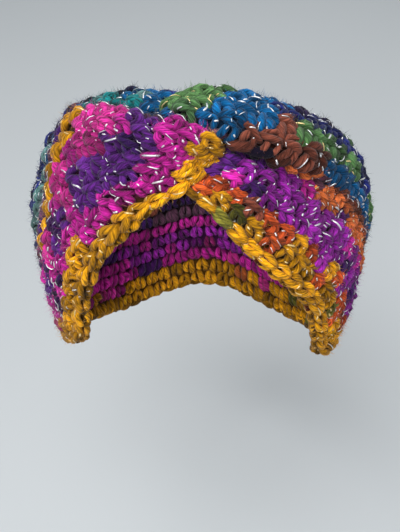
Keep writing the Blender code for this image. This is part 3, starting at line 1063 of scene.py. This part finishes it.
def film_dashes(bundle, strands):
    """Dashes of film on a share of the strands, each a shallow closed ridge wound round its strand."""
    chosen = dice.random(len(strands.paths)) < FILM_SHARE
    paths, radii, ups, yarn = [values[chosen] for values in strands]
    count, rings, _ = paths.shape
    tangents = unit(np.gradient(paths, axis=1))
    sideways = unit(np.cross(tangents, ups))
    upward = np.cross(sideways, tangents)
    shortest, longest = FILM_LENGTHS
    length = shortest + (longest - shortest) * dice.random((count, 1)) ** 2
    start = dice.uniform(*FILM_MIDDLES, (count, 1)) - length / 2
    where = np.clip(start + length * np.linspace(0, 1, FILM_RINGS)[None], *FILM_LIMITS) * (rings - 1)
    low = np.minimum(where.astype(int), rings - 2)
    share = (where - low)[..., None]
    pick = np.arange(count)[:, None]

    def along(values):
        values = values if values.ndim == 3 else values[..., None]
        return values[pick, low] * (1 - share) + values[pick, low + 1] * share

    middle_turn = dice.normal(0, FILM_OFF_TOP, (count, 1))
    winding = dice.choice([-1.0, 1.0], (count, 1)) * dice.uniform(*FILM_WINDING, (count, 1))
    turn = (middle_turn + winding * np.linspace(-0.5, 0.5, FILM_RINGS)[None])[..., None]
    out = unit(np.cos(turn) * along(upward) + np.sin(turn) * along(sideways))
    spine = along(paths) + (along(radii) + FILM_LIFT) * out
    beside = unit(np.cross(unit(np.gradient(spine, axis=1)), out))
    taper = np.ones((1, FILM_RINGS, 1))
    taper[:, [0, -1]] = FILM_END_WIDTH
    half = FILM_WIDTH / 2 * taper * dice.uniform(*FILM_WIDTH_SHARES, (count, 1, 1))
    one_side = spine + half * beside - FILM_LIFT * out
    other_side = spine - half * beside - FILM_LIFT * out
    ring = np.stack([spine, one_side, other_side], axis=2)
    golden = (yarn[:, 1] > MUSTARD_LEAST_GREEN) & (yarn[:, 2] < MUSTARD_MOST_BLUE)
    colour = np.where(golden[:, None], GOLD, SILVER)
    colours = np.broadcast_to(colour[:, None, None], ring.shape)
    faces = repeat_faces(film_faces(), count, FILM_RINGS * FILM_CORNERS)
    bundle.add(ring, faces, colours, np.zeros_like(ring))


film_bundle = YarnMesh()
for strands in outer_strands:
    film_dashes(film_bundle, strands)
film_piece = film_bundle.make("metallic_film", film)
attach(film_piece, "root")
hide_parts("band")

# %% [markdown]
# ## Fuzz
#
# Wool sheds a halo of loose fibres, which softens the outline, and a short nap covers the strands
# themselves. Blender's hair curves would draw both, but they are no mesh, and the model is meant to be
# used as meshes. So each fibre is a thin curved spike that starts inside a strand's skin. Real ones are
# about 0.03 mm thick. These are a few times thicker, because anything finer vanishes between the pixels.
# A nap fibre is so short that it needs no bend, so it is a plain spike with four faces.

# %% Loose fibres and nap
# The knots are the places along a spike that it is drawn through, and the last one is its tip.
Fibres = namedtuple("Fibres", "name count lengths radius scatter curl knots")
FUZZ = (
    Fibres("loose_fibres", 16000, (1.3 * MM, 3.8 * MM), 0.06 * MM, 0.75, 0.5, (0, 0.5, 1)),
    Fibres("nap", 27000, (0.5 * MM, 1.5 * MM), 0.08 * MM, 1.3, 0.3, (0, 1)),
)
FIBRE_SIDES = 3
FIBRE_ROOT_DEPTH = 0.93
FIBRE_GAIN = 1.2
FIBRE_PALENESS = 0.02


def fibre_faces(rings):
    """Triangles of one closed spike, whose tip comes after its rings."""
    tip = FIBRE_SIDES * rings
    last = tip - FIBRE_SIDES
    points = [(last + k, last + (k + 1) % FIBRE_SIDES, tip) for k in range(FIBRE_SIDES)]
    return [(0, 2, 1)] + tube_faces(rings, FIBRE_SIDES) + points


def fuzz_piece(fibres):
    """Thin spikes on the skins of the outer strands, away from the strands' buried ends."""
    paths = np.concatenate([s.paths[:, 1:-1].reshape(-1, 3) for s in outer_strands])
    radii = np.concatenate([s.radii[:, 1:-1].reshape(-1) for s in outer_strands])
    ups = np.concatenate([s.ups[:, 1:-1].reshape(-1, 3) for s in outer_strands])
    colours = np.concatenate([np.repeat(s.colours, s.paths.shape[1] - 2, axis=0) for s in outer_strands])
    chosen = dice.integers(0, len(paths), fibres.count)
    out = unit(ups[chosen] + fibres.scatter * unit(dice.normal(0, 1, (fibres.count, 3))))
    root = paths[chosen] + FIBRE_ROOT_DEPTH * out * radii[chosen, None]
    bend = unit(dice.normal(0, 1, (fibres.count, 3)))
    length = dice.uniform(*fibres.lengths, (fibres.count, 1))
    side_a = unit(np.cross(out, bend))
    side_b = unit(np.cross(out, side_a))
    turns = 2 * math.pi * np.arange(FIBRE_SIDES) / FIBRE_SIDES
    spread = np.cos(turns)[None, :, None] * side_a[:, None] + np.sin(turns)[None, :, None] * side_b[:, None]
    spine = [root + length * (knot * out + fibres.curl * knot**2 * bend) for knot in fibres.knots]
    rings = [middle[:, None] + fibres.radius * spread for middle in spine[:-1]]
    places = np.concatenate(rings + [spine[-1][:, None]], axis=1)
    points_each = places.shape[1]
    lighter = np.clip(colours[chosen] * FIBRE_GAIN + FIBRE_PALENESS, 0, 1)
    bundle = YarnMesh()
    bundle.add(
        places,
        repeat_faces(fibre_faces(len(rings)), fibres.count, points_each),
        np.repeat(lighter[:, None], points_each, axis=1),
        np.zeros_like(places),
    )
    return bundle.make(fibres.name, spun_wool)


fuzz = [fuzz_piece(fibres) for fibres in FUZZ]
for piece in fuzz:
    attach(piece, "root")
    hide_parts("band")

# %% [markdown]
# ## The sewn seam
#
# On the head side the two ends are whip-stitched together with a thinner yarn, in mustard, that runs in a
# zigzag over the seam. It could be a row of separate stitches. The real yarn is one length, so here it is
# one long strand along a wave, with the same skin as the others.

# %% Seam yarn
SEAM_YARN_RADIUS = 1.5 * MM
SEAM_CLEARANCE = 0.4 * MM
SEAM_STITCHES = 5
SEAM_POINTS = 120
SEAM_ANGLE = 1.0
SEAM_SWAY = 2.0
SEAM_ACROSS = (-5.0, 15.0)


def seam_piece():
    """The seam's yarn, in angles over the hollow, a little clear of the fabric on the head side."""
    shares = np.linspace(0, 1, SEAM_POINTS)
    across = SEAM_ACROSS[0] + shares * (SEAM_ACROSS[1] - SEAM_ACROSS[0])
    angle = SEAM_ANGLE + SEAM_SWAY * np.sin(2 * math.pi * SEAM_STITCHES * shares)
    path = place(angle, across, np.full_like(shares, -SEAM_CLEARANCE - SEAM_YARN_RADIUS))
    radii = np.full((1, SEAM_POINTS), SEAM_YARN_RADIUS)
    strands = Strands(path[None], radii, -head_normals(path)[None], linear(SHADES["m"])[None])
    bundle = YarnMesh()
    add_strands(bundle, strands, LEG_SIDES)
    return bundle.make("seam_stitching", spun_wool)


seam = seam_piece()
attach(seam, "root")
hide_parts("seam_yarn")

# %% [markdown]
# ## The strip as a flat sheet
#
# The fabric is a sheet: it was worked flat, as wide as its 13 rows and as long as the strip, and then
# folded and hooked at the front. The ground is that sheet, and the stitches, film and fuzz are the pieces
# on it.

# %% [markdown]
# ## The floor
#
# A plain floor keeps the eye on the yarn and gives back a little light from below. A curved backdrop
# would do the same with no horizon, but this camera looks down, so a flat board is enough.

# %% Floor
FLOOR_LEVEL = -0.29
FLOOR_HALF_SIZE = 7.0
FLOOR_COLOUR = "C8CCCE"
FLOOR_ROUGHNESS = 0.9


def floor_material(name):
    """Painted board: matt and pale."""
    made = bpy.data.materials.new(name)
    made.use_nodes = True
    shader = made.node_tree.nodes["Principled BSDF"]
    shader.inputs["Base Color"].default_value = (*linear(FLOOR_COLOUR), 1.0)
    shader.inputs["Roughness"].default_value = FLOOR_ROUGHNESS
    return made


floor_corners = [
    (x * FLOOR_HALF_SIZE, y * FLOOR_HALF_SIZE, FLOOR_LEVEL) for x, y in ((-1, -1), (1, -1), (1, 1), (-1, 1))
]
floor_mesh = bpy.data.meshes.new("floor")
floor_mesh.from_pydata(floor_corners, [], [(0, 1, 2, 3)])
floor_mesh.materials.append(floor_material("matt_painted_board"))
floor = bpy.data.objects.new("floor", floor_mesh)
bpy.context.collection.objects.link(floor)
print(f"floor: {2 * FLOOR_HALF_SIZE:.0f} m square, {-FLOOR_LEVEL / MM:.0f} mm below the brow")

# %% [markdown]
# ## The light
#
# Soft light shows the roundness of yarn without hard shadows. One wide lamp alone would leave the right
# side dull, and even light from all round would flatten the stitches. So a wide lamp above and to the
# left does most of the work, a second one fills the right side, a small one from the front gives the film
# its sparks, and one behind lights the back. The world adds a little even light, so that the gaps between
# the stitches aren't black.

# %% Lamps
Lamp = namedtuple("Lamp", "name distance elevation yaw size watts")
LAMPS = (
    Lamp("window_lamp", 1.1, 62, -30, 0.7, 11),
    Lamp("fill_lamp", 1.3, 35, 60, 0.9, 2.2),
    Lamp("front_lamp", 1.2, 30, -8, 0.2, 2.4),
    Lamp("back_lamp", 1.3, 50, 175, 0.9, 5),
)
for lamp in LAMPS:
    light = bpy.data.lights.new(lamp.name, "AREA")
    light.shape = "SQUARE"
    light.size = lamp.size
    light.energy = lamp.watts
    lamp_object = bpy.data.objects.new(lamp.name, light)
    bpy.context.collection.objects.link(lamp_object)
    lamp_object.matrix_world = aim(
        lamp.name, lamp.distance, math.radians(lamp.elevation), math.radians(lamp.yaw)
    )

# %% World
WORLD_COLOUR = "DDE3E8"
WORLD_STRENGTH = 0.45
world = bpy.data.worlds.new("studio")
world.use_nodes = True
world.node_tree.nodes["Background"].inputs["Color"].default_value = (*linear(WORLD_COLOUR), 1.0)
world.node_tree.nodes["Background"].inputs["Strength"].default_value = WORLD_STRENGTH
bpy.context.scene.world = world
bpy.context.scene.view_settings.view_transform = "Standard"
print("world strength:", WORLD_STRENGTH)

# %% [markdown]
# ## Sizes, and the end
#
# The band has a real size, and the stitches stand a few millimetres out from the packed solids.
